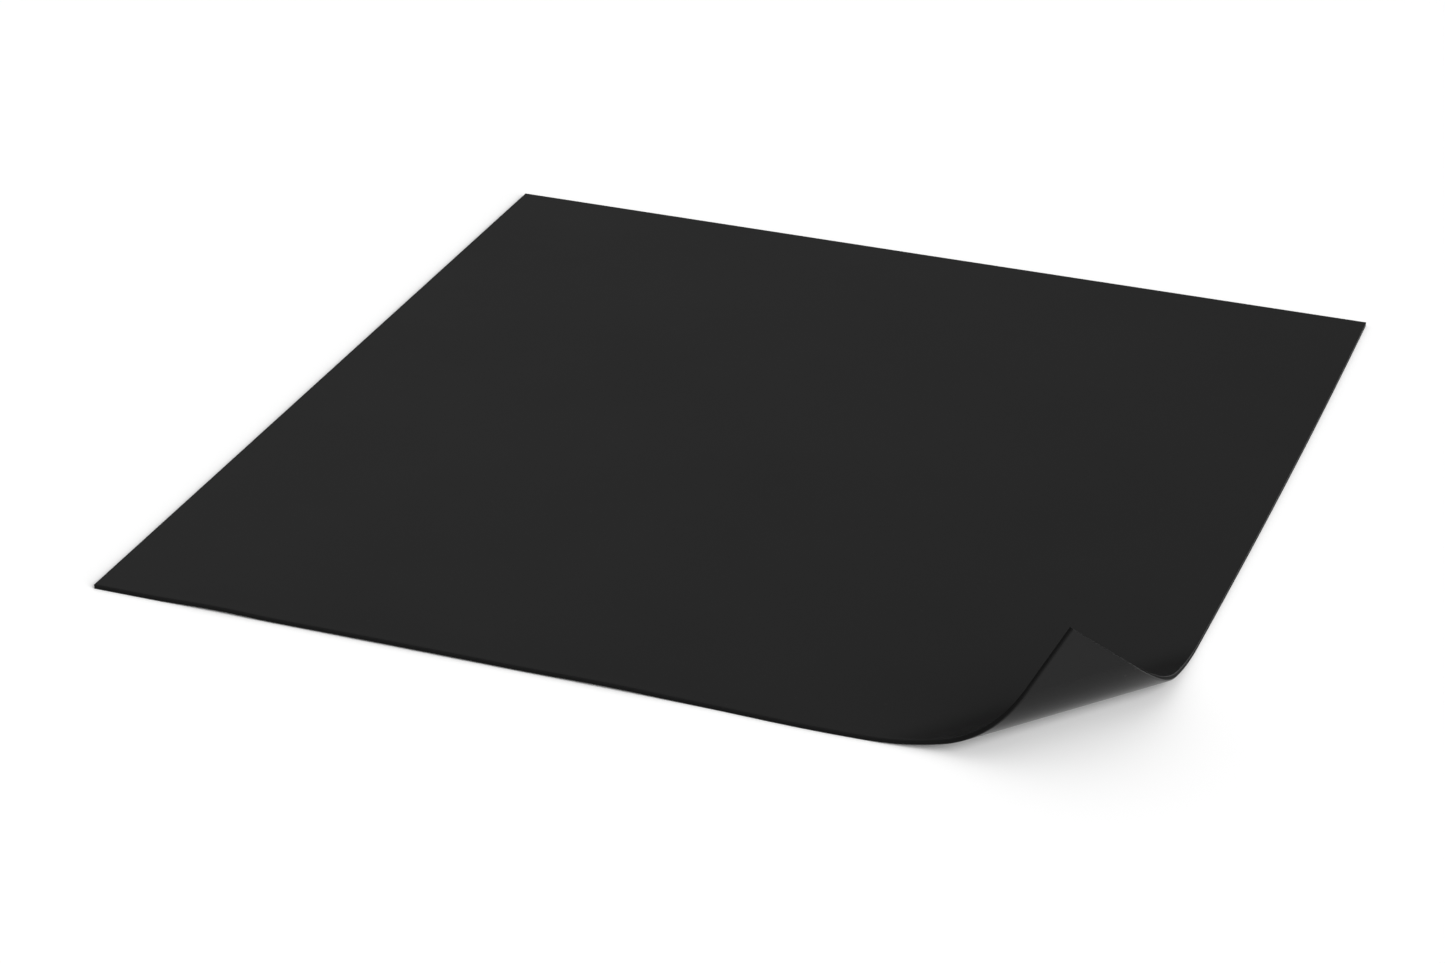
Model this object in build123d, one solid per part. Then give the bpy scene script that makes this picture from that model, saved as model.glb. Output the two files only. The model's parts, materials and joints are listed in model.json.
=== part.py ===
from build123d import *
import math
import os

# A seedling heat mat: a printed heating film and a felt, sealed between two
# plastic covers, with one corner curled up.
# Millimetres and degrees. The origin is the middle of the mat's underside.
# +X runs along the front edge to the right, +Y to the back edge, +Z up.

# Outline and layers, from the underside up
mat_width = 508.0
mat_depth = 527.0
cover_thickness = 0.6
felt_thickness = 0.8
carrier_thickness = 0.2
element_thickness = 0.15
film_cover_thickness = 0.25

# Sealed rim and the heater inside it
seal_width = 14.0
heater_clearance = 0.5
wiring_channel = 10.0

# Printed element: carbon stripes between two copper bus bars
busbar_width = 12.0
busbar_inset = 6.0
busbar_tail = 5.0
stripe_width = 11.0
stripe_pitch = 14.0

# Terminals, inner leads and the entry that they leave by
jaw_width = 8.0
jaw_thickness = 0.2
jaw_web = 0.4
barrel_diameter = 1.0
barrel_length = 9.0
conductor_diameter = 0.5
lead_diameter = 1.0
lead_clearance = 0.05
lead_bend = 2.5
lead_spacing = 4.0
entry_width = 12.0
entry_from_left = 54.0

# Curled corner, front right: arcs of the top face, across a diagonal bend line
curl_reach = 90.5
curl_direction = 39.8
gentle_radius = 80.0
gentle_angle = 20.0
gentle_folds = 2
tight_radius = 31.0
tight_angle = 68.0
tight_folds = 4
fold_gap = 0.3

# Levels, worked out from the layers
felt_z = cover_thickness
carrier_z = felt_z + felt_thickness
element_z = carrier_z + carrier_thickness
film_cover_z = element_z + element_thickness
top_cover_z = film_cover_z + film_cover_thickness
core_height = top_cover_z - cover_thickness
mat_thickness = top_cover_z + cover_thickness

# Edges of the heater and of the wiring channel behind it
seal_inner_x = mat_width / 2 - seal_width
seal_inner_y = mat_depth / 2 - seal_width
heater_x = seal_inner_x - heater_clearance
heater_front = -seal_inner_y + heater_clearance
heater_back = seal_inner_y - wiring_channel
busbar_outer = heater_x - busbar_inset
busbar_inner = busbar_outer - busbar_width
busbar_middle = busbar_outer - busbar_width / 2
tail_end = heater_back + busbar_tail
barrel_y = tail_end + jaw_web + barrel_diameter / 2 - jaw_thickness
jaw_z = element_z - jaw_thickness
lead_z = cover_thickness + core_height / 2
entry_x = -mat_width / 2 + entry_from_left


def slab(x_from, x_to, y_from, y_to, z_from, thickness):
    """A flat rectangular sheet between the given sides, lying on z_from."""
    middle = Pos((x_from + x_to) / 2, (y_from + y_to) / 2, z_from + thickness / 2)
    return middle * Box(x_to - x_from, y_to - y_from, thickness)


def full_sheet(z_from):
    """One cover, as large as the mat."""
    half_x = mat_width / 2
    half_y = mat_depth / 2
    return slab(-half_x, half_x, -half_y, half_y, z_from, cover_thickness)


def heater_sheet(z_from, thickness):
    """A layer as large as the heater."""
    return slab(-heater_x, heater_x, heater_front, heater_back, z_from, thickness)


def entry_block():
    """The block in the back seal that the inner leads leave by."""
    half = entry_width / 2
    back = mat_depth / 2
    return slab(entry_x - half, entry_x + half, seal_inner_y, back, felt_z, core_height)


def seal_across(side):
    """The seal along the whole front (-1) or back (1) edge. The back one leaves room for the entry."""
    y_from, y_to = sorted((side * seal_inner_y, side * mat_depth / 2))
    bar = slab(-mat_width / 2, mat_width / 2, y_from, y_to, felt_z, core_height)
    return bar if side < 0 else bar - entry_block()


def seal_along(side):
    """The seal down the left (-1) or right (1) edge, between the front and back ones."""
    x_from, x_to = sorted((side * seal_inner_x, side * mat_width / 2))
    return slab(x_from, x_to, -seal_inner_y, seal_inner_y, felt_z, core_height)


def carbon_stripes():
    """The printed stripes, one solid each, centred between front and back."""
    room = heater_back - heater_front
    count = int((room - stripe_width) // stripe_pitch) + 1
    first = (heater_front + heater_back) / 2 - (count - 1) * stripe_pitch / 2
    stripes = []
    for number in range(count):
        y = first + number * stripe_pitch
        low = y - stripe_width / 2
        high = y + stripe_width / 2
        stripes.append(
            slab(-busbar_inner, busbar_inner, low, high, element_z, element_thickness)
        )
    return stripes


def busbar(side):
    """A copper strip along one side (-1 left, 1 right), with a tail in the wiring channel."""
    edges = sorted((side * busbar_inner, side * busbar_outer))
    return slab(*edges, heater_front, tail_end, element_z, element_thickness)


def terminal(side):
    """A crimp: two jaws on the bus bar's tail, joined behind it, and a barrel for the lead."""
    x = side * busbar_middle
    low_x = x - jaw_width / 2
    high_x = x + jaw_width / 2
    jaw_front = heater_back + heater_clearance
    jaw_back = tail_end + jaw_web
    clamp_height = element_thickness + 2 * jaw_thickness
    clamp = slab(low_x, high_x, jaw_front, jaw_back, jaw_z, clamp_height)
    clamp -= slab(low_x, high_x, jaw_front, tail_end, element_z, element_thickness)
    lying = Pos(x, barrel_y, lead_z) * Rot(0, 90, 0)
    crimp = clamp + lying * Cylinder(barrel_diameter / 2, barrel_length)
    return crimp - lying * Cylinder(conductor_diameter / 2, barrel_length)


def lead(side):
    """An insulated lead from the terminal's barrel along the channel and out of the entry."""
    exit_x = entry_x + side * lead_spacing / 2
    barrel_x = side * busbar_middle
    inward = math.copysign(1, exit_x - barrel_x)
    start_x = barrel_x + inward * barrel_length / 2
    corners = [(start_x, barrel_y, lead_z), (exit_x, barrel_y, lead_z)]
    corners.append((exit_x, mat_depth / 2, lead_z))
    route = FilletPolyline(*corners, radius=lead_bend)
    section = Plane(origin=route @ 0, z_dir=route % 0) * Circle(lead_diameter / 2)
    insulation = sweep(section, path=route)
    along = Pos(barrel_x + inward * barrel_length / 4, barrel_y, lead_z) * Rot(0, 90, 0)
    conductor = along * Cylinder(conductor_diameter / 2, barrel_length / 2)
    return insulation + conductor


def cord_entry():
    """The entry block, with a bore for each lead."""
    block = entry_block()
    for side in (-1, 1):
        bore = Cylinder(lead_diameter / 2 + lead_clearance, 3 * seal_width)
        block -= Pos(entry_x + side * lead_spacing / 2, mat_depth / 2, lead_z) * Rot(90, 0, 0) * bore
    return block


def bend_plane():
    """The flat corner's own plane: X towards the corner from the line where the curl starts."""
    angle = math.radians(curl_direction)
    towards = (math.cos(angle), -math.sin(angle), 0)
    start = (
        mat_width / 2 - curl_reach * towards[0],
        -mat_depth / 2 - curl_reach * towards[1],
        mat_thickness,
    )
    return Plane(origin=start, x_dir=towards, z_dir=(0, 0, 1))


def folds():
    """Each fold line's distance from the start of the curl, and the angle it takes up."""
    lines = []
    start = 0.0
    arcs = ((gentle_radius, gentle_angle, gentle_folds), (tight_radius, tight_angle, tight_folds))
    for radius, angle, count in arcs:
        length = math.radians(angle) * radius
        for number in range(count):
            lines.append((start + (number + 0.5) * length / count, angle / count))
        start += length
    return lines


def fold_axis(distance):
    """The fold line in the flat top face. Turning about it lifts the corner."""
    plane = bend_plane()
    point = plane.from_local_coords((distance, 0, 0))
    return Axis(point, -plane.y_dir)


def band(number):
    """The room that one flat strip of the corner takes up; number 0 is the rest of the mat."""
    lines = [distance for distance, _ in folds()]
    far = mat_width + mat_depth
    low = lines[number - 1] + fold_gap / 2 if number > 0 else -far
    high = lines[number] - fold_gap / 2 if number < len(lines) else far
    place = bend_plane().location * Pos((low + high) / 2, 0, 0)
    return place * Box(high - low, 2 * far, 10 * mat_thickness)


def curl_up(shape, number):
    """Turn a flat strip about its own fold line and then about each one nearer the mat."""
    for distance, angle in reversed(folds()[:number]):
        shape = shape.rotate(fold_axis(distance), angle)
    return shape


def strip(solids, number):
    """What a flat layer has in one strip, curled up into place."""
    room = band(number)
    pieces = []
    for solid in solids:
        common = solid & room
        if common is not None:
            pieces += [curl_up(piece, number) for piece in common.solids()]
    return pieces


def save(name, solids):
    """One STEP file for one node."""
    piece = solids[0] if len(solids) == 1 else Compound(children=list(solids))
    piece.label = name
    export_step(piece, f"parts/{name}.step")


def flat_layers():
    """Each layer as it lies before the corner is curled, by name."""
    return {
        "bottom_cover": [full_sheet(0)],
        "edge_seal_front": [seal_across(-1)],
        "edge_seal_back": seal_across(1).solids(),
        "edge_seal_left": [seal_along(-1)],
        "edge_seal_right": [seal_along(1)],
        "insulation_felt": [heater_sheet(felt_z, felt_thickness)],
        "film_carrier": [heater_sheet(carrier_z, carrier_thickness)],
        "carbon_stripes": carbon_stripes(),
        "busbar_left": [busbar(-1)],
        "busbar_right": [busbar(1)],
        "film_cover": [heater_sheet(film_cover_z, film_cover_thickness)],
        "top_cover": [full_sheet(top_cover_z)],
    }


def wiring():
    """The pieces behind the heater, by name."""
    return {
        "terminal_left": terminal(-1).solids(),
        "terminal_right": terminal(1).solids(),
        "lead_left": lead(-1).solids(),
        "lead_right": lead(1).solids(),
        "cord_entry": cord_entry().solids(),
    }


def build():
    """Write every node: the mat's own pieces and the strips of the curled corner."""
    os.makedirs("parts", exist_ok=True)
    layers = flat_layers()
    for layer, solids in layers.items():
        save(layer, strip(solids, 0))
    layers["edge_seal"] = layers.pop("edge_seal_front") + layers.pop("edge_seal_right")
    layers["film_sheets"] = layers.pop("film_carrier") + layers.pop("film_cover")
    for number in range(1, len(folds()) + 1):
        for layer, solids in layers.items():
            pieces = strip(solids, number)
            if pieces:
                save(f"corner_{number}_{layer}", pieces)
    for name, solids in wiring().items():
        save(name, solids)


build()
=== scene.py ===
# %% [markdown]
# # A seedling heat mat, with one corner curled up
#
# The mat is a thin sandwich. Two black plastic covers hold a felt and a printed
# heating film between them, and a sealing strip runs round the rim.
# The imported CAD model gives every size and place, and this script gives the looks.
# It works in metres, in the CAD model's own frame: +X runs along the front edge,
# +Y to the back edge, and +Z is up.

import json
import math

import bmesh
import bpy
import numpy as np
from mathutils import Matrix, Vector

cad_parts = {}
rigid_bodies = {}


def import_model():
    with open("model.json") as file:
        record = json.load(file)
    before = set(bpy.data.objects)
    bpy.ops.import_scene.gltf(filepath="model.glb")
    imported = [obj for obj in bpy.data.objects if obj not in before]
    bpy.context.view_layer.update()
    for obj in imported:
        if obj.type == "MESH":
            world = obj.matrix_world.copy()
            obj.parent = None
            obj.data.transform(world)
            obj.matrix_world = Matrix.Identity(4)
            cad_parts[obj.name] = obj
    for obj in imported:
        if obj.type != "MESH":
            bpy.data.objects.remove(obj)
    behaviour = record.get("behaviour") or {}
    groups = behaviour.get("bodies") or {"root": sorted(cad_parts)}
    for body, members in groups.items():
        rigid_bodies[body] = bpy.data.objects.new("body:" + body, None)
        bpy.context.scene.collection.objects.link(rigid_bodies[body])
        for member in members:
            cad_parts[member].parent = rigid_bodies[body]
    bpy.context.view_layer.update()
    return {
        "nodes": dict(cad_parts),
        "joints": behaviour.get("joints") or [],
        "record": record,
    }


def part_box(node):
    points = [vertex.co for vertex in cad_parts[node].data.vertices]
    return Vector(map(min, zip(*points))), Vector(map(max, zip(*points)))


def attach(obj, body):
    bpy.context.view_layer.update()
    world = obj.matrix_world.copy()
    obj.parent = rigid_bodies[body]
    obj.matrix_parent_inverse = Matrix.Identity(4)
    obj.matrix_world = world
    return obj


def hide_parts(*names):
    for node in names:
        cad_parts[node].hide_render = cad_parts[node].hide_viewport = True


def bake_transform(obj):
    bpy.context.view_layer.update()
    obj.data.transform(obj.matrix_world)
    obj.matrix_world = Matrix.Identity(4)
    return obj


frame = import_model()
nodes = frame["nodes"]
MM = 0.001

# %% [markdown]
# ## The camera
#
# The camera comes first, because everything else is judged through it. It could be
# placed by hand, but a target, a distance and three angles are easier to reason about.
# A long lens keeps the mat's edges nearly parallel.

# %% Camera
AIM = Vector((-0.0133, -0.0452, 0.0))
AZIMUTH = math.radians(20.35)
ELEVATION = math.radians(26.69)
ROLL = math.radians(0.51)
DISTANCE = 1.998
LENS_MM = 97.95
SENSOR_MM = 36.0
CLIP_NEAR, CLIP_FAR = 0.05, 50.0

camera_data = bpy.data.cameras.new("camera")
camera_data.lens = LENS_MM
camera_data.sensor_width = SENSOR_MM
camera_data.sensor_fit = "HORIZONTAL"
camera_data.clip_start = CLIP_NEAR
camera_data.clip_end = CLIP_FAR
camera = bpy.data.objects.new("camera", camera_data)
bpy.context.scene.collection.objects.link(camera)
outward = Vector((
    math.sin(AZIMUTH) * math.cos(ELEVATION),
    -math.cos(AZIMUTH) * math.cos(ELEVATION),
    math.sin(ELEVATION),
))
camera.matrix_world = (
    Matrix.Translation(AIM + DISTANCE * outward)
    @ (-outward).to_track_quat("-Z", "Y").to_matrix().to_4x4()
    @ Matrix.Rotation(ROLL, 4, "Z")
)
bpy.context.scene.camera = camera
print("camera at", [round(value, 3) for value in camera.matrix_world.translation])

# %% [markdown]
# ## Reading the mat's sizes from the frame
#
# The CAD covers give the outline and the levels. The six joints of the corner give the
# curl: each is a fold line in the top face, and its angle is how far the corner turns
# there to lie flat. The distance between two folds, divided by the angle of one, is the
# radius of the arc that they stand for.

# %% Outline, levels and fold lines
cover_low, cover_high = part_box("top_cover")
LEFT, RIGHT = cover_low[0], cover_high[0]
FRONT, BACK = cover_low[1], cover_high[1]
TOP = cover_high[2]

fold_points = [Vector(joint["pos_m"]) for joint in frame["joints"]]
fold_turns = [-math.radians(joint["range_deg"][0]) for joint in frame["joints"]]
ALONG = -Vector(frame["joints"][0]["axis"]).normalized()
TOWARDS = Vector((ALONG.y, -ALONG.x, 0.0))

GENTLE_FOLDS = 2
gentle_radius = (fold_points[1] - fold_points[0]).length / fold_turns[1]
tight_radius = (fold_points[3] - fold_points[2]).length / fold_turns[3]
arc_lengths = [gentle_radius * turn for turn in fold_turns[:GENTLE_FOLDS]]
arc_lengths += [tight_radius * turn for turn in fold_turns[GENTLE_FOLDS:]]
GENTLE_LENGTH = sum(arc_lengths[:GENTLE_FOLDS])
TIGHT_LENGTH = sum(arc_lengths[GENTLE_FOLDS:])
CURL_START = fold_points[0] - TOWARDS * arc_lengths[0] / 2
CURL_START.z = TOP
CURL_REACH = (Vector((RIGHT, FRONT, TOP)) - CURL_START).dot(TOWARDS)
print(f"mat {RIGHT - LEFT:.4f} by {BACK - FRONT:.4f} by {TOP:.4f} m")
print(f"curl: radius {gentle_radius:.4f} then {tight_radius:.4f} m, over {CURL_REACH:.4f} m")

# %% [markdown]
# ## Bending a flat sheet
#
# Every layer is drawn flat and then bent by one function, so that the layers stay
# together. The sheet could be bent with a Simple Deform modifier, but a formula keeps
# the top face exactly as long as the CAD model's. Past the start of the curl, the top
# face follows a gentle arc, then a tight one, and then runs straight to the tip. What
# lies below the top face is set off at right angles to it.

# %% The curl
def curl(points):
    """Bend flat points of the mat into the curled corner."""
    start, towards, along = (np.array(v[:2]) for v in (CURL_START, TOWARDS, ALONG))
    plan = points[:, :2] - start
    reach = plan @ towards
    across = plan @ along
    depth = points[:, 2] - TOP
    gentle = np.clip(reach, 0, GENTLE_LENGTH) / gentle_radius
    tight = np.clip(reach - GENTLE_LENGTH, 0, TIGHT_LENGTH) / tight_radius
    straight = np.clip(reach - GENTLE_LENGTH - TIGHT_LENGTH, 0, None)
    turn = gentle + tight
    run = np.minimum(reach, 0) + gentle_radius * np.sin(gentle)
    run += tight_radius * (np.sin(turn) - np.sin(gentle)) + straight * np.cos(turn)
    rise = gentle_radius * (1 - np.cos(gentle))
    rise += tight_radius * (np.cos(gentle) - np.cos(turn)) + straight * np.sin(turn)
    run -= depth * np.sin(turn)
    rise += depth * np.cos(turn)
    place = start + run[:, None] * towards + across[:, None] * along
    return np.column_stack([place, TOP + rise])


tip = curl(np.array([[RIGHT, FRONT, TOP]]))[0]
print("tip of the corner:", tip.round(4))

# %% [markdown]
# A mat that has been stored rolled doesn't lie quite flat. Its front edge lifts off the
# floor by about a millimetre in places, and the lift fades out a little way in. Raised
# cosine bumps do this better than noise, because each one can be put where it belongs.

# %% The lift of the front edge
# Middle along X, half width and height of each bump
LIFTS = (
    (-95 * MM, 160 * MM, 0.55 * MM),
    (-190 * MM, 34 * MM, 0.7 * MM),
    (12 * MM, 50 * MM, 0.65 * MM),
)
LIFT_DEPTH = 26 * MM


def bump(values, middle, half_width):
    """A raised cosine: 1 in the middle, 0 at half_width and beyond."""
    share = np.clip(np.abs(values - middle) / half_width, 0, 1)
    return 0.5 + 0.5 * np.cos(math.pi * share)


def lift(points):
    """Raise the flat points near the front edge."""
    fade = bump(points[:, 1], FRONT, LIFT_DEPTH)
    height = sum(size * bump(points[:, 0], middle, half) for middle, half, size in LIFTS)
    return points + np.column_stack([np.zeros((len(points), 2)), height * fade])


front_edge = np.array([[x, FRONT, 0.0] for x in np.linspace(LEFT, RIGHT, 100)])
print("highest lift:", round(lift(front_edge)[:, 2].max() / MM, 2), "mm")

# %% [markdown]
# A soft sheet isn't cut perfectly square either. The right edge bows out a little near
# the front and leans in at the back, the front edge swells before the curl, and the back
# edge is slightly askew. Only the outer rim moves, so the pieces inside stay covered.

# %% The bow of the outline
RIM_DEPTH = 12 * MM
RIGHT_BOW, RIGHT_BOW_Y, RIGHT_BOW_RADIUS = 1.7 * MM, -100 * MM, 13.5
TIP_FADE = 70 * MM
FRONT_BOW, FRONT_BOW_X, FRONT_BOW_HALF = 1.5 * MM, 112 * MM, 62 * MM
BACK_SKEW = 0.7 * MM


def bow(points):
    """Shift the rim of the flat sheet to its real, slightly curved outline."""
    x, y, z = points.T
    at_right = np.clip((x - RIGHT + RIM_DEPTH) / RIM_DEPTH, 0, 1)
    at_front = np.clip((FRONT + RIM_DEPTH - y) / RIM_DEPTH, 0, 1)
    at_back = np.clip((y - BACK + RIM_DEPTH) / RIM_DEPTH, 0, 1)
    right_shift = RIGHT_BOW - (y - RIGHT_BOW_Y) ** 2 / (2 * RIGHT_BOW_RADIUS)
    right_shift = right_shift * np.clip((y - FRONT) / TIP_FADE, 0, 1)
    front_shift = FRONT_BOW * bump(x, FRONT_BOW_X, FRONT_BOW_HALF)
    new_x = x + right_shift * at_right
    new_y = y - front_shift * at_front + BACK_SKEW * np.clip(x / RIGHT, 0, 1) * at_back
    return np.column_stack([new_x, new_y, z])


back_right = bow(np.array([[RIGHT, BACK, TOP]]))[0]
print("back right corner moves by", ((back_right[:2] - (RIGHT, BACK)) / MM).round(2), "mm")

# %% [markdown]
# ## Building one layer as a mesh
#
# A layer is a closed plate: a grid of faces on top, the same below, and walls round the
# rim. A plain cube would do for its size, but it couldn't bend. The grid has a few lines
# close to each outer edge, so that the edge can be rounded and stay crisp.

# %% Grid lines and the closed plate
EDGE_RADIUS = 0.3 * MM
UNDER_RADIUS = 0.55 * MM
EDGE_STEPS = (0.0, 0.134, 0.5, 1.0)
RIM_STEPS = (0.8 * MM, 1.5 * MM, 2.2 * MM, 3.5 * MM, 7 * MM, 12 * MM, 18 * MM, 26 * MM)
GRID_STEP = 9 * MM
CLOSEST_LINES = 0.02 * MM


def grid_lines(low, high, low_is_edge=True, high_is_edge=True):
    """Places of the grid lines from low to high, close together at the mat's own edges."""
    fine = [EDGE_RADIUS * step for step in EDGE_STEPS] + list(RIM_STEPS)
    places = {low, high}
    if low_is_edge:
        places |= {low + step for step in fine if low + step < high}
    if high_is_edge:
        places |= {high - step for step in fine if high - step > low}
    start = low + (RIM_STEPS[-1] if low_is_edge else 0)
    end = high - (RIM_STEPS[-1] if high_is_edge else 0)
    if end > start:
        places |= set(np.linspace(start, end, 2 + int((end - start) / GRID_STEP)))
    ordered = sorted(places)
    kept = [ordered[0]]
    for place in ordered[1:]:
        if place - kept[-1] > CLOSEST_LINES:
            kept.append(place)
    return kept


def add_plate(bm, xs, ys, low, high):
    """Add a closed plate with the given grid lines, from level low to level high."""
    lower, upper = (
        [[bm.verts.new((x, y, z)) for x in xs] for y in ys] for z in (low, high)
    )
    for rows, faces_down in ((lower, True), (upper, False)):
        for near, far in zip(rows, rows[1:]):
            for i in range(len(xs) - 1):
                face = [near[i], near[i + 1], far[i + 1], far[i]]
                bm.faces.new(face[::-1] if faces_down else face)
    ring = [(0, column) for column in range(len(xs))]
    ring += [(row, len(xs) - 1) for row in range(1, len(ys))]
    ring += [(len(ys) - 1, column) for column in range(len(xs) - 2, -1, -1)]
    ring += [(row, 0) for row in range(len(ys) - 2, 0, -1)]
    for (row, column), (next_row, next_column) in zip(ring, ring[1:] + ring[:1]):
        bm.faces.new((
            lower[row][column], lower[next_row][next_column],
            upper[next_row][next_column], upper[row][column],
        ))


print("grid lines:", len(grid_lines(LEFT, RIGHT)), "by", len(grid_lines(FRONT, BACK)))

# %% [markdown]
# The corner is cut into bands that run along the fold lines. The cuts lie where the CAD
# strips touch the smooth arc, which is halfway between two folds. Each cut end is closed
# with a row of small faces, because one long face would stand off the surface once the
# outline is bowed.
# Inside a band, further cuts give the rows of narrow faces that make the bend look round.

# %% Cutting a plate along the fold lines
BAND_EDGES = [0.0] + [float(edge) for edge in np.cumsum(arc_lengths)]
ROW_STEP = 0.8 * MM
SNAP = 1e-7


def close_end(bm):
    """Close a cut end with a row of faces, from its lower line up to its upper one."""
    rim = [edge for edge in bm.edges if edge.is_boundary]
    corners = {vert for edge in rim for vert in edge.verts}
    middle = sum(vert.co.z for vert in corners) / max(len(corners), 1)
    lower, upper = (
        sorted(
            (vert for vert in corners if (vert.co.z > middle) == is_upper),
            key=lambda vert: vert.co.dot(ALONG),
        )
        for is_upper in (False, True)
    )
    above = dict(zip(lower, upper, strict=True))
    for edge in rim:
        if all(vert in above for vert in edge.verts):
            loop = edge.link_loops[0]
            first, second = loop.link_loop_next.vert, loop.vert
            bm.faces.new((first, second, above[second], above[first]))


def cut(bm, reach, clear_far=False, clear_near=False):
    """Cut the flat mesh along the line at this distance from the start of the curl."""
    bmesh.ops.bisect_plane(
        bm,
        geom=bm.verts[:] + bm.edges[:] + bm.faces[:],
        dist=SNAP,
        plane_co=CURL_START + TOWARDS * reach,
        plane_no=TOWARDS,
        clear_outer=clear_far,
        clear_inner=clear_near,
    )
    if clear_far or clear_near:
        close_end(bm)


def keep_band(bm, number):
    """Keep one band: 0 is the flat mat, and 1 to 6 are the bands of the curl."""
    if number == 0:
        cut(bm, BAND_EDGES[0], clear_far=True)
        return
    near, far = BAND_EDGES[number - 1], BAND_EDGES[number]
    cut(bm, near, clear_near=True)
    if number < len(fold_points):
        cut(bm, far, clear_far=True)
    rows = math.ceil((far - near) / ROW_STEP)
    for row in range(1, rows + 1):
        reach = near + (far - near) * row / rows
        if reach < far or number == len(fold_points):
            cut(bm, reach)


print("bands start at", [round(edge / MM, 1) for edge in BAND_EDGES], "mm")

# %% [markdown]
# The cut edge of a real cover isn't a perfect right angle. The slitting knife and the
# press leave it slightly round, and the sealing press sinks the last two millimetres of
# the top by a tenth of a millimetre. That thin falling rim catches the light differently
# and draws a fine line round the mat. A Bevel modifier would round the cut ends of the
# bands too, so the vertices near the outer edge are lowered by formula instead.
# Each vertex also keeps its flat place as an attribute. The materials read it, so grain
# and marks stay on the sheet when the corner is bent, and run across the bands unbroken.

# %% Rounding, bending and making the object
RIM_WIDTH = 2.2 * MM
RIM_FALL = 0.12 * MM
SHARP_ANGLE = math.radians(40)


def soften(points, face, low, high):
    """Round the outer edge of the face that shows: "top", "bottom" or None."""
    x, y, z = points.T
    from_edge = np.minimum(np.minimum(x - LEFT, RIGHT - x), np.minimum(y - FRONT, BACK - y))
    radius = UNDER_RADIUS if face == "bottom" else EDGE_RADIUS
    inset = np.clip(radius - from_edge, 0, radius)
    drop = radius - np.sqrt(radius**2 - inset**2)
    fall = RIM_FALL * np.clip(1 - from_edge / RIM_WIDTH, 0, 1) ** 2
    moved = z.copy()
    if face == "top":
        moved -= np.where(z > (low + high) / 2, drop + fall, 0)
    if face == "bottom":
        moved += np.where(z < (low + high) / 2, drop, 0)
    return np.column_stack([x, y, moved])


def make_layer(name, plates, number, face, material):
    """One band of one layer, from its flat plates to an object placed by follow_bodies."""
    mesh = bpy.data.meshes.new(name)
    whole = bmesh.new()
    for xs, ys, low, high in plates:
        bm = bmesh.new()
        add_plate(bm, xs, ys, low, high)
        keep_band(bm, number)
        bm.to_mesh(mesh)
        bm.free()
        whole.from_mesh(mesh)
    whole.to_mesh(mesh)
    whole.free()
    flat = np.empty(len(mesh.vertices) * 3, np.float32)
    mesh.vertices.foreach_get("co", flat)
    place = mesh.attributes.new("flat_place", "FLOAT_VECTOR", "POINT")
    place.data.foreach_set("vector", flat)
    low, high = plates[0][2:]
    points = flat.reshape(-1, 3).astype(float)
    points = curl(lift(bow(soften(points, face, low, high))))
    mesh.vertices.foreach_set("co", points.astype(np.float32).ravel())
    mesh.shade_smooth()
    mesh.set_sharp_from_angle(angle=SHARP_ANGLE)
    mesh.materials.append(material)
    piece = bpy.data.objects.new(name, mesh)
    bpy.context.scene.collection.objects.link(piece)
    follow_bodies(piece, number)
    return piece


BODY_CHAIN = [frame["joints"][0]["parent"]] + [joint["child"] for joint in frame["joints"]]


def follow_bodies(piece, number):
    """The flat mat rides on its body; each band of the curl stays where it is made."""
    if number == 0:
        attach(piece, BODY_CHAIN[0])
        return
    for reach in BAND_EDGES[number - 1:number + 1]:
        flat = CURL_START + TOWARDS * reach
        tuple(curl(np.array([flat]))[0])
    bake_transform(piece)


print("bodies from the mat to the tip:", BODY_CHAIN)

# %% [markdown]
# ## Shader helpers
#
# Materials are node trees. Four small helpers keep the code readable. They add a node
# and set its values, link sockets, make an empty node group with named sockets, and
# place a group in a material.

# %% Node helpers
def add_node(tree, kind, **values):
    """Add a shader node. Values name its properties or its input sockets."""
    made = tree.nodes.new(kind)
    for name, value in values.items():
        title = name.replace("_", " ")
        if hasattr(made, name):
            setattr(made, name, value)
        else:
            made.inputs[title].default_value = value
    return made


def connect(tree, *pairs):
    """Link each pair of an output socket and an input socket."""
    for output, into in pairs:
        tree.links.new(output, into)


def new_group(name, inputs, outputs):
    """An empty node group with (title, socket type, default) inputs and outputs."""
    group = bpy.data.node_groups.new(name, "ShaderNodeTree")
    for title, kind, value in inputs:
        socket = group.interface.new_socket(name=title, in_out="INPUT", socket_type=kind)
        socket.default_value = value
    for title, kind in outputs:
        group.interface.new_socket(name=title, in_out="OUTPUT", socket_type=kind)
    return group, group.nodes.new("NodeGroupInput"), group.nodes.new("NodeGroupOutput")


def use_group(tree, group, **values):
    """Place a node group in a material with its own values."""
    placed = tree.nodes.new("ShaderNodeGroup")
    placed.node_tree = group
    for name, value in values.items():
        placed.inputs[name.replace("_", " ")].default_value = value
    return placed


print("helpers ready:", ", ".join(f.__name__ for f in (add_node, connect, new_group, use_group)))

# %% [markdown]
# ## Effects that several materials share
#
# The fine grain of pressed plastic is a bed of tiny rounded cells. Noise alone looks
# like dirt, and Voronoi cells alone look like scales, so the group mixes a Voronoi
# distance with a finer noise and puts out one height.

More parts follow.
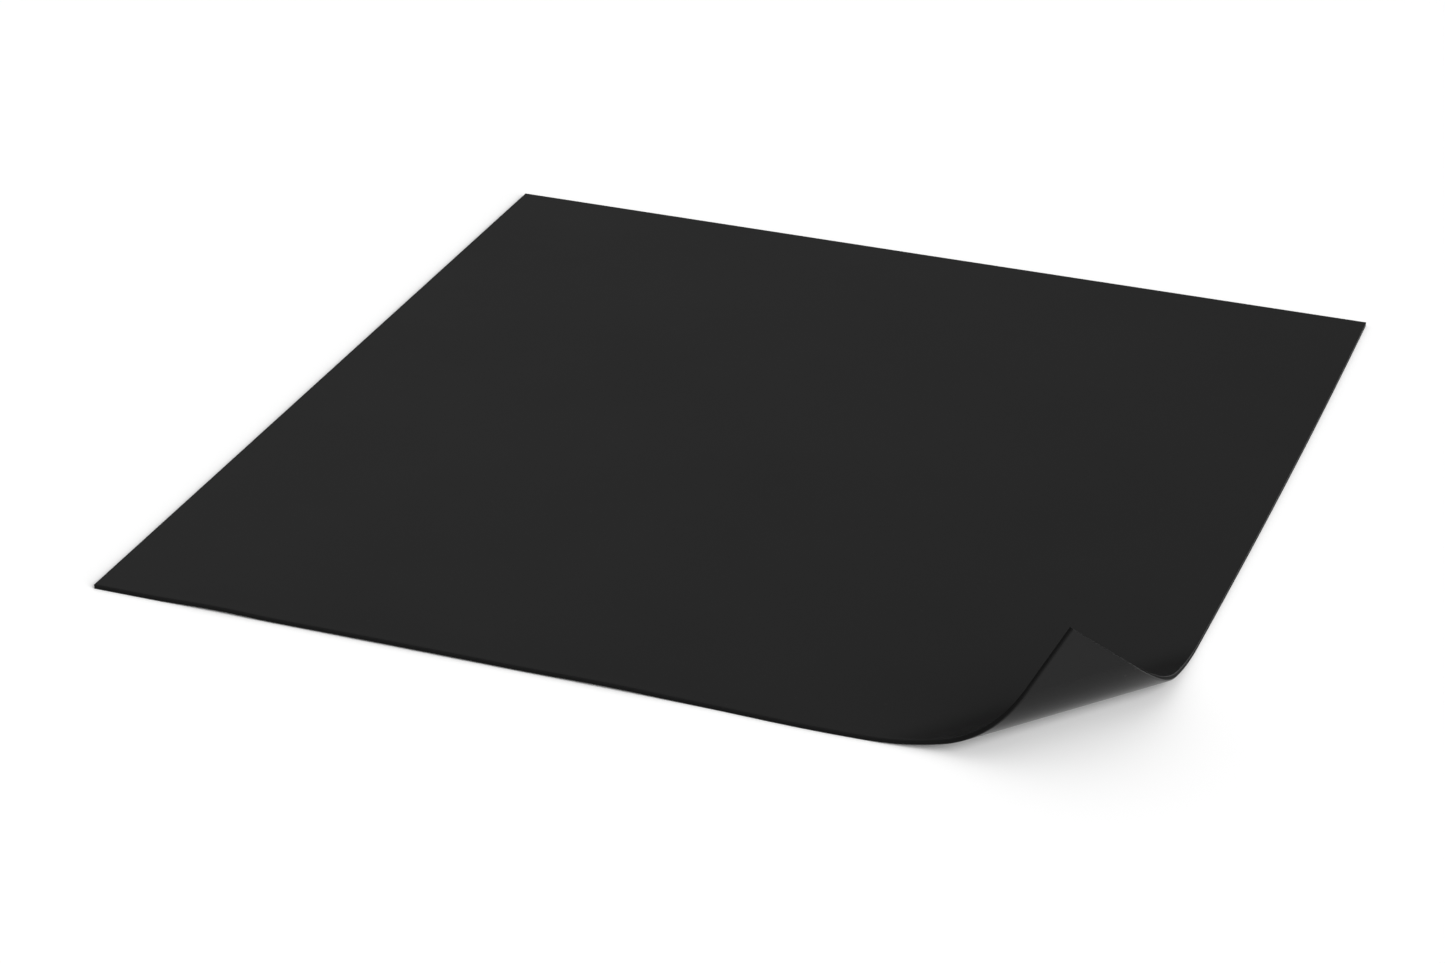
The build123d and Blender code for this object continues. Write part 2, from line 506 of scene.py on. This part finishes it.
# %% Group: pressed grain
FINER_BY = 2.7
grain_group, grain_in, grain_out = new_group(
    "Pressed grain",
    [
        ("Place", "NodeSocketVector", (0.0, 0.0, 0.0)),
        ("Cells per metre", "NodeSocketFloat", 1500.0),
        ("Roughen", "NodeSocketFloat", 0.35),
    ],
    [("Height", "NodeSocketFloat")],
)
cells = add_node(grain_group, "ShaderNodeTexVoronoi", feature="SMOOTH_F1", Smoothness=0.6)
fine = add_node(grain_group, "ShaderNodeTexNoise", Detail=2.0)
finer = add_node(grain_group, "ShaderNodeMath", operation="MULTIPLY")
finer.inputs[1].default_value = FINER_BY
both = add_node(grain_group, "ShaderNodeMix", data_type="FLOAT")
connect(
    grain_group,
    (grain_in.outputs["Place"], cells.inputs["Vector"]),
    (grain_in.outputs["Place"], fine.inputs["Vector"]),
    (grain_in.outputs["Cells per metre"], cells.inputs["Scale"]),
    (grain_in.outputs["Cells per metre"], finer.inputs[0]),
    (finer.outputs[0], fine.inputs["Scale"]),
    (grain_in.outputs["Roughen"], both.inputs["Factor"]),
    (cells.outputs["Distance"], both.inputs["A"]),
    (fine.outputs["Fac"], both.inputs["B"]),
    (both.outputs["Result"], grain_out.inputs["Height"]),
)
print("made", grain_group.name)

# %% [markdown]
# Handled plastic is never one even tone. Broad, faint clouds change how dull it is, and
# a few pale specks of dust lie on it. The group puts out both as masks from 0 to 1, and
# each material decides how much of them to show.

# %% Group: handling marks
# The part of each noise's range that is spread over the mask's 0 to 1
CLOUD_RANGE = (0.3, 0.7)
SPECK_RANGE = (0.74, 0.8)

marks_group, marks_in, marks_out = new_group(
    "Handling marks",
    [
        ("Place", "NodeSocketVector", (0.0, 0.0, 0.0)),
        ("Clouds per metre", "NodeSocketFloat", 9.0),
        ("Specks per metre", "NodeSocketFloat", 420.0),
    ],
    [("Cloud", "NodeSocketFloat"), ("Dust", "NodeSocketFloat")],
)
clouds = add_node(marks_group, "ShaderNodeTexNoise", Detail=4.0, Roughness=0.55)
cloud_range = add_node(
    marks_group, "ShaderNodeMapRange", From_Min=CLOUD_RANGE[0], From_Max=CLOUD_RANGE[1]
)
specks = add_node(marks_group, "ShaderNodeTexNoise", Detail=1.0)
speck_range = add_node(
    marks_group, "ShaderNodeMapRange", From_Min=SPECK_RANGE[0], From_Max=SPECK_RANGE[1]
)
connect(
    marks_group,
    (marks_in.outputs["Place"], clouds.inputs["Vector"]),
    (marks_in.outputs["Clouds per metre"], clouds.inputs["Scale"]),
    (clouds.outputs["Fac"], cloud_range.inputs["Value"]),
    (cloud_range.outputs["Result"], marks_out.inputs["Cloud"]),
    (marks_in.outputs["Place"], specks.inputs["Vector"]),
    (marks_in.outputs["Specks per metre"], specks.inputs["Scale"]),
    (specks.outputs["Fac"], speck_range.inputs["Value"]),
    (speck_range.outputs["Result"], marks_out.inputs["Dust"]),
)
print("made", marks_group.name)

# %% [markdown]
# ## A material for every finish
#
# One function makes a Principled material from two tones, two roughness values and a
# grain. The differences between finishes are then just numbers, which is how a maker
# would compare samples. The mat's sheets take their texture place from the flat_place
# attribute, and CAD nodes, which don't bend, take it from their object coordinates.

# %% The base finish
DUST_TONE = (0.25, 0.24, 0.22, 1)


def new_finish(name, dark, light, dull, glossy, grain, height, dust=0.0, bends=False, **surface):
    """A procedural material. dark and light are its tones, dull and glossy its roughness."""
    material = bpy.data.materials.new(name)
    material.use_nodes = True
    tree = material.node_tree
    shader = tree.nodes["Principled BSDF"]
    for title, value in surface.items():
        shader.inputs[title.replace("_", " ")].default_value = value
    if bends:
        source = add_node(tree, "ShaderNodeAttribute", attribute_name="flat_place")
        place = source.outputs["Vector"]
    else:
        place = add_node(tree, "ShaderNodeTexCoord").outputs["Object"]
    marks = use_group(tree, marks_group)
    pressed = use_group(tree, grain_group, Cells_per_metre=grain)
    tone = add_node(tree, "ShaderNodeMix", data_type="RGBA")
    tone.inputs["A"].default_value = (*dark, 1)
    tone.inputs["B"].default_value = (*light, 1)
    dusty = add_node(tree, "ShaderNodeMix", data_type="RGBA")
    dusty.inputs["B"].default_value = DUST_TONE
    dust_share = add_node(tree, "ShaderNodeMath", operation="MULTIPLY")
    dust_share.inputs[1].default_value = dust
    rough = add_node(tree, "ShaderNodeMapRange", To_Min=glossy, To_Max=dull)
    relief = add_node(tree, "ShaderNodeBump", Strength=1.0, Distance=height)
    connect(
        tree,
        (place, marks.inputs["Place"]),
        (place, pressed.inputs["Place"]),
        (marks.outputs["Cloud"], tone.inputs["Factor"]),
        (tone.outputs["Result"], dusty.inputs["A"]),
        (marks.outputs["Dust"], dust_share.inputs[0]),
        (dust_share.outputs[0], dusty.inputs["Factor"]),
        (dusty.outputs["Result"], shader.inputs["Base Color"]),
        (marks.outputs["Cloud"], rough.inputs["Value"]),
        (rough.outputs["Result"], shader.inputs["Roughness"]),
        (pressed.outputs["Height"], relief.inputs["Height"]),
        (relief.outputs["Normal"], shader.inputs["Normal"]),
    )
    return material


def grey(value):
    """A neutral linear tone."""
    return (value, value, value)


print("every finish mixes", marks_group.name, "and", grain_group.name)

# %% [markdown]
# The top cover is a dull black sheet with a pressed grain of about half a millimetre.
# Its gloss is low, so that trays don't slide and the lamp over them doesn't glare.
# The underside is the same plastic with a broader, fainter grain, a little smoother and
# lighter. The seal is duller and darker than both.

# %% Cover finishes
top_finish = new_finish(
    "top_cover_black", grey(0.0052), grey(0.0062), dull=0.38, glossy=0.30,
    grain=1700.0, height=0.004 * MM, dust=0.02, bends=True, Specular_IOR_Level=0.095,
)
base_finish = new_finish(
    "bottom_cover_black", grey(0.0056), grey(0.0064), dull=0.28, glossy=0.22,
    grain=900.0, height=0.002 * MM, dust=0.02, bends=True, Specular_IOR_Level=0.12,
)
seal_finish = new_finish(
    "seal_black", grey(0.0030), grey(0.0042), dull=0.7, glossy=0.6,
    grain=1200.0, height=0.01 * MM, bends=True, Specular_IOR_Level=0.1,
)
print("made", top_finish.name, base_finish.name, seal_finish.name)

# %% [markdown]
# The pieces inside never show unless someone hides a cover, but each still gets the
# finish of the real thing: needled felt, clear film, carbon ink, copper, tinned metal
# and wire insulation.

# %% Finishes of the pieces inside
felt_finish = new_finish(
    "felt", (0.48, 0.47, 0.44), (0.60, 0.59, 0.56), dull=1.0, glossy=0.92,
    grain=2600.0, height=0.12 * MM, Sheen_Weight=0.4,
)
film_finish = new_finish(
    "clear_film", (0.62, 0.67, 0.69), (0.72, 0.76, 0.77), dull=0.22, glossy=0.12,
    grain=300.0, height=0.003 * MM,
)
carbon_finish = new_finish(
    "carbon_ink", grey(0.016), grey(0.026), dull=0.6, glossy=0.45,
    grain=5000.0, height=0.006 * MM,
)
copper_finish = new_finish(
    "copper_foil", (0.66, 0.29, 0.16), (0.78, 0.38, 0.23), dull=0.38, glossy=0.24,
    grain=2500.0, height=0.004 * MM, Metallic=1.0,
)
tin_finish = new_finish(
    "tinned_crimp", (0.52, 0.52, 0.50), (0.66, 0.66, 0.64), dull=0.4, glossy=0.28,
    grain=4000.0, height=0.004 * MM, Metallic=1.0,
)
wire_finish = new_finish(
    "wire_insulation", grey(0.016), grey(0.022), dull=0.5, glossy=0.36,
    grain=3000.0, height=0.004 * MM,
)
entry_finish = new_finish(
    "entry_moulding", grey(0.013), grey(0.018), dull=0.62, glossy=0.5,
    grain=2400.0, height=0.01 * MM,
)
inner_finishes = (
    felt_finish, film_finish, carbon_finish, copper_finish,
    tin_finish, wire_finish, entry_finish,
)
print("made", ", ".join(finish.name for finish in inner_finishes))

# %% [markdown]
# The record names a material slot for every CAD node, so one table from slot to finish
# dresses them all. A node that a Blender piece replaces gets its finish too, in case it
# is ever shown.

# %% A finish for every CAD node
FINISH_OF_SLOT = {
    "felt": felt_finish, "film": film_finish, "carbon": carbon_finish,
    "copper": copper_finish, "terminal": tin_finish, "lead": wire_finish,
    "entry": entry_finish, "cover_top": top_finish, "cover_base": base_finish,
    "seal": seal_finish,
}
slot_of = {part["node"]: part["material_slot"] for part in frame["record"]["subparts"]}
for name, node in nodes.items():
    node.data.materials.clear()
    node.data.materials.append(FINISH_OF_SLOT[slot_of[name]])
print("finished", len(nodes), "CAD nodes")

# %% [markdown]
# ## The two covers
#
# Each cover is one sheet of plastic on the real mat. Here it is one flat piece and six
# bands, all cut from the same plate.

# %% Top and bottom covers
CORNER_LEFT = RIGHT - CURL_REACH / TOWARDS.x - GRID_STEP
CORNER_BACK = FRONT - CURL_REACH / TOWARDS.y + GRID_STEP
BANDS = range(1, len(fold_points) + 1)


def cover_plate(number, low, high):
    """The flat plate that a cover's piece is cut from: the whole mat, or its corner."""
    if number == 0:
        return grid_lines(LEFT, RIGHT), grid_lines(FRONT, BACK), low, high
    xs = grid_lines(CORNER_LEFT, RIGHT, low_is_edge=False)
    ys = grid_lines(FRONT, CORNER_BACK, high_is_edge=False)
    return xs, ys, low, high


def make_cover(title, face, finish):
    """One cover, as its flat piece and the bands of its curled corner."""
    low, high = (corner[2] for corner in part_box(title))
    for number in (0, *BANDS):
        name = f"{title}_flat" if number == 0 else f"{title}_band_{number}"
        cad = title if number == 0 else f"corner_{number}_{title}"
        piece = make_layer(name, [cover_plate(number, low, high)], number, face, finish)
        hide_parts(cad)


make_cover("top_cover", "top", top_finish)
make_cover("bottom_cover", "bottom", base_finish)

# %% [markdown]
# ## The sealing strip
#
# The strip between the covers shows as the middle of the mat's side. It is set back
# by a tenth of a millimetre, which leaves two hairline shadows and makes the side read
# as three layers. It runs along all four edges, and stops either side of the entry.

# %% Seal strips
SEAL_SETBACK = 0.12 * MM
SEAL_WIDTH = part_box("edge_seal_left")[1][0] - LEFT
SEAL_LOW, SEAL_HIGH = (corner[2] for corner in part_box("edge_seal_left"))
ENTRY_LEFT, ENTRY_RIGHT = (corner[0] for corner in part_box("cord_entry"))
outer_left, outer_right = LEFT + SEAL_SETBACK, RIGHT - SEAL_SETBACK
outer_front, outer_back = FRONT + SEAL_SETBACK, BACK - SEAL_SETBACK
inner_left, inner_right = LEFT + SEAL_WIDTH, RIGHT - SEAL_WIDTH
inner_front, inner_back = FRONT + SEAL_WIDTH, BACK - SEAL_WIDTH


def even_lines(low, high):
    """Evenly spaced grid lines."""
    return list(np.linspace(low, high, 2 + int((high - low) / GRID_STEP)))


def strip(x_from, x_to, y_from, y_to):
    """The plate of one straight strip of seal."""
    return even_lines(x_from, x_to), even_lines(y_from, y_to), SEAL_LOW, SEAL_HIGH


front_strip = strip(outer_left, outer_right, outer_front, inner_front)
right_strip = strip(inner_right, outer_right, inner_front, inner_back)
left_strip = strip(outer_left, inner_left, inner_front, inner_back)
back_strips = [
    strip(outer_left, ENTRY_LEFT, inner_back, outer_back),
    strip(ENTRY_RIGHT, outer_right, inner_back, outer_back),
]
corner_strips = [
    strip(CORNER_LEFT, outer_right, outer_front, inner_front),
    strip(inner_right, outer_right, inner_front, CORNER_BACK),
]
# Name, band, the CAD node that it stands for, and its plates
SEAL_PIECES = [
    ("seal_front", 0, "edge_seal_front", [front_strip]),
    ("seal_right", 0, "edge_seal_right", [right_strip]),
    ("seal_left", 0, "edge_seal_left", [left_strip]),
    ("seal_back", 0, "edge_seal_back", back_strips),
] + [
    (f"seal_band_{number}", number, f"corner_{number}_edge_seal", corner_strips)
    for number in BANDS
]
for name, number, replaced, plates in SEAL_PIECES:
    piece = make_layer(name, plates, number, None, seal_finish)
    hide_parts(replaced)
print("made", len(SEAL_PIECES), "seal pieces")

# %% [markdown]
# ## The floor
#
# The mat lies on a pale, even floor. It is far larger than the mat, so that it fills
# every view.

# %% Floor
FLOOR_HALF = 30.0
FLOOR_GAP = 0.05 * MM
FLOOR_TONE = (0.86, 0.86, 0.86, 1)
FLOOR_ROUGHNESS = 0.9
FLOOR_SPECULAR = 0.1

floor_mesh = bpy.data.meshes.new("floor")
floor_corners = [
    (x * FLOOR_HALF, y * FLOOR_HALF, -FLOOR_GAP)
    for x, y in ((-1, -1), (1, -1), (1, 1), (-1, 1))
]
floor_mesh.from_pydata(floor_corners, [], [(0, 1, 2, 3)])
floor = bpy.data.objects.new("floor", floor_mesh)
bpy.context.scene.collection.objects.link(floor)
floor_finish = bpy.data.materials.new("floor_pale")
floor_finish.use_nodes = True
floor_shader = floor_finish.node_tree.nodes["Principled BSDF"]
floor_shader.inputs["Base Color"].default_value = FLOOR_TONE
floor_shader.inputs["Roughness"].default_value = FLOOR_ROUGHNESS
floor_shader.inputs["Specular IOR Level"].default_value = FLOOR_SPECULAR
floor_mesh.materials.append(floor_finish)
print("floor", 2 * FLOOR_HALF, "m wide")

# %% [markdown]
# ## The light
#
# Half of the light is a bright studio ceiling, and half is one very wide lamp low on the
# right. The lamp keeps the floor bright under the curled corner, so its shadow stays a
# soft grey. It is hidden from mirror reflections, because otherwise the mat would turn
# pale when seen from behind.
# The ceiling fades out towards the horizon. That matters for a dark sheet seen at a low
# angle: its flat top mirrors the ceiling faintly, and where it starts to curl it mirrors
# the dim horizon instead, so a darker band shows the bend. The ceiling is a little
# brighter on the left, which shades the mat from left to right. The camera sees the
# backdrop itself as plain white.
# Area lamps could do this too, but a world and a sun light the whole floor evenly.

# %% Studio ceiling
CEILING_STRENGTH = 0.735
HORIZON_STRENGTH = 0.04
CEILING_FROM, CEILING_FULL = math.radians(11), math.radians(46)
CEILING_UP = (-0.22, 0.0, 0.975)

world = bpy.data.worlds.new("studio")
world.use_nodes = True
bpy.context.scene.world = world
sky_tree = world.node_tree
backdrop = sky_tree.nodes["Background"]
backdrop.inputs["Color"].default_value = (1.0, 1.0, 1.0, 1)
direction = add_node(sky_tree, "ShaderNodeTexCoord")
height = add_node(sky_tree, "ShaderNodeVectorMath", operation="DOT_PRODUCT")
height.inputs[1].default_value = CEILING_UP
fade = add_node(
    sky_tree, "ShaderNodeMapRange", interpolation_type="SMOOTHSTEP",
    From_Min=math.sin(CEILING_FROM), From_Max=math.sin(CEILING_FULL),
    To_Min=HORIZON_STRENGTH, To_Max=CEILING_STRENGTH,
)
seen = add_node(sky_tree, "ShaderNodeLightPath")
brighter = add_node(sky_tree, "ShaderNodeMath", operation="MAXIMUM")
connect(
    sky_tree,
    (direction.outputs["Generated"], height.inputs[0]),
    (height.outputs["Value"], fade.inputs["Value"]),
    (fade.outputs["Result"], brighter.inputs[0]),
    (seen.outputs["Is Camera Ray"], brighter.inputs[1]),
    (brighter.outputs[0], backdrop.inputs["Strength"]),
)
print("ceiling strength", CEILING_STRENGTH)

# %% Wide lamp
LAMP_FROM = Vector((0.866, -0.5, 0.51))
LAMP_ANGLE = math.radians(50)
LAMP_STRENGTH = 4.3

lamp_data = bpy.data.lights.new("wide_lamp", "SUN")
lamp_data.energy = LAMP_STRENGTH
lamp_data.angle = LAMP_ANGLE
lamp = bpy.data.objects.new("wide_lamp", lamp_data)
lamp.rotation_euler = LAMP_FROM.to_track_quat("Z", "Y").to_euler()
lamp.visible_glossy = False
bpy.context.scene.collection.objects.link(lamp)
bpy.context.scene.view_settings.view_transform = "Standard"
print("lamp", round(math.degrees(math.asin(LAMP_FROM.normalized().z))), "degrees up")
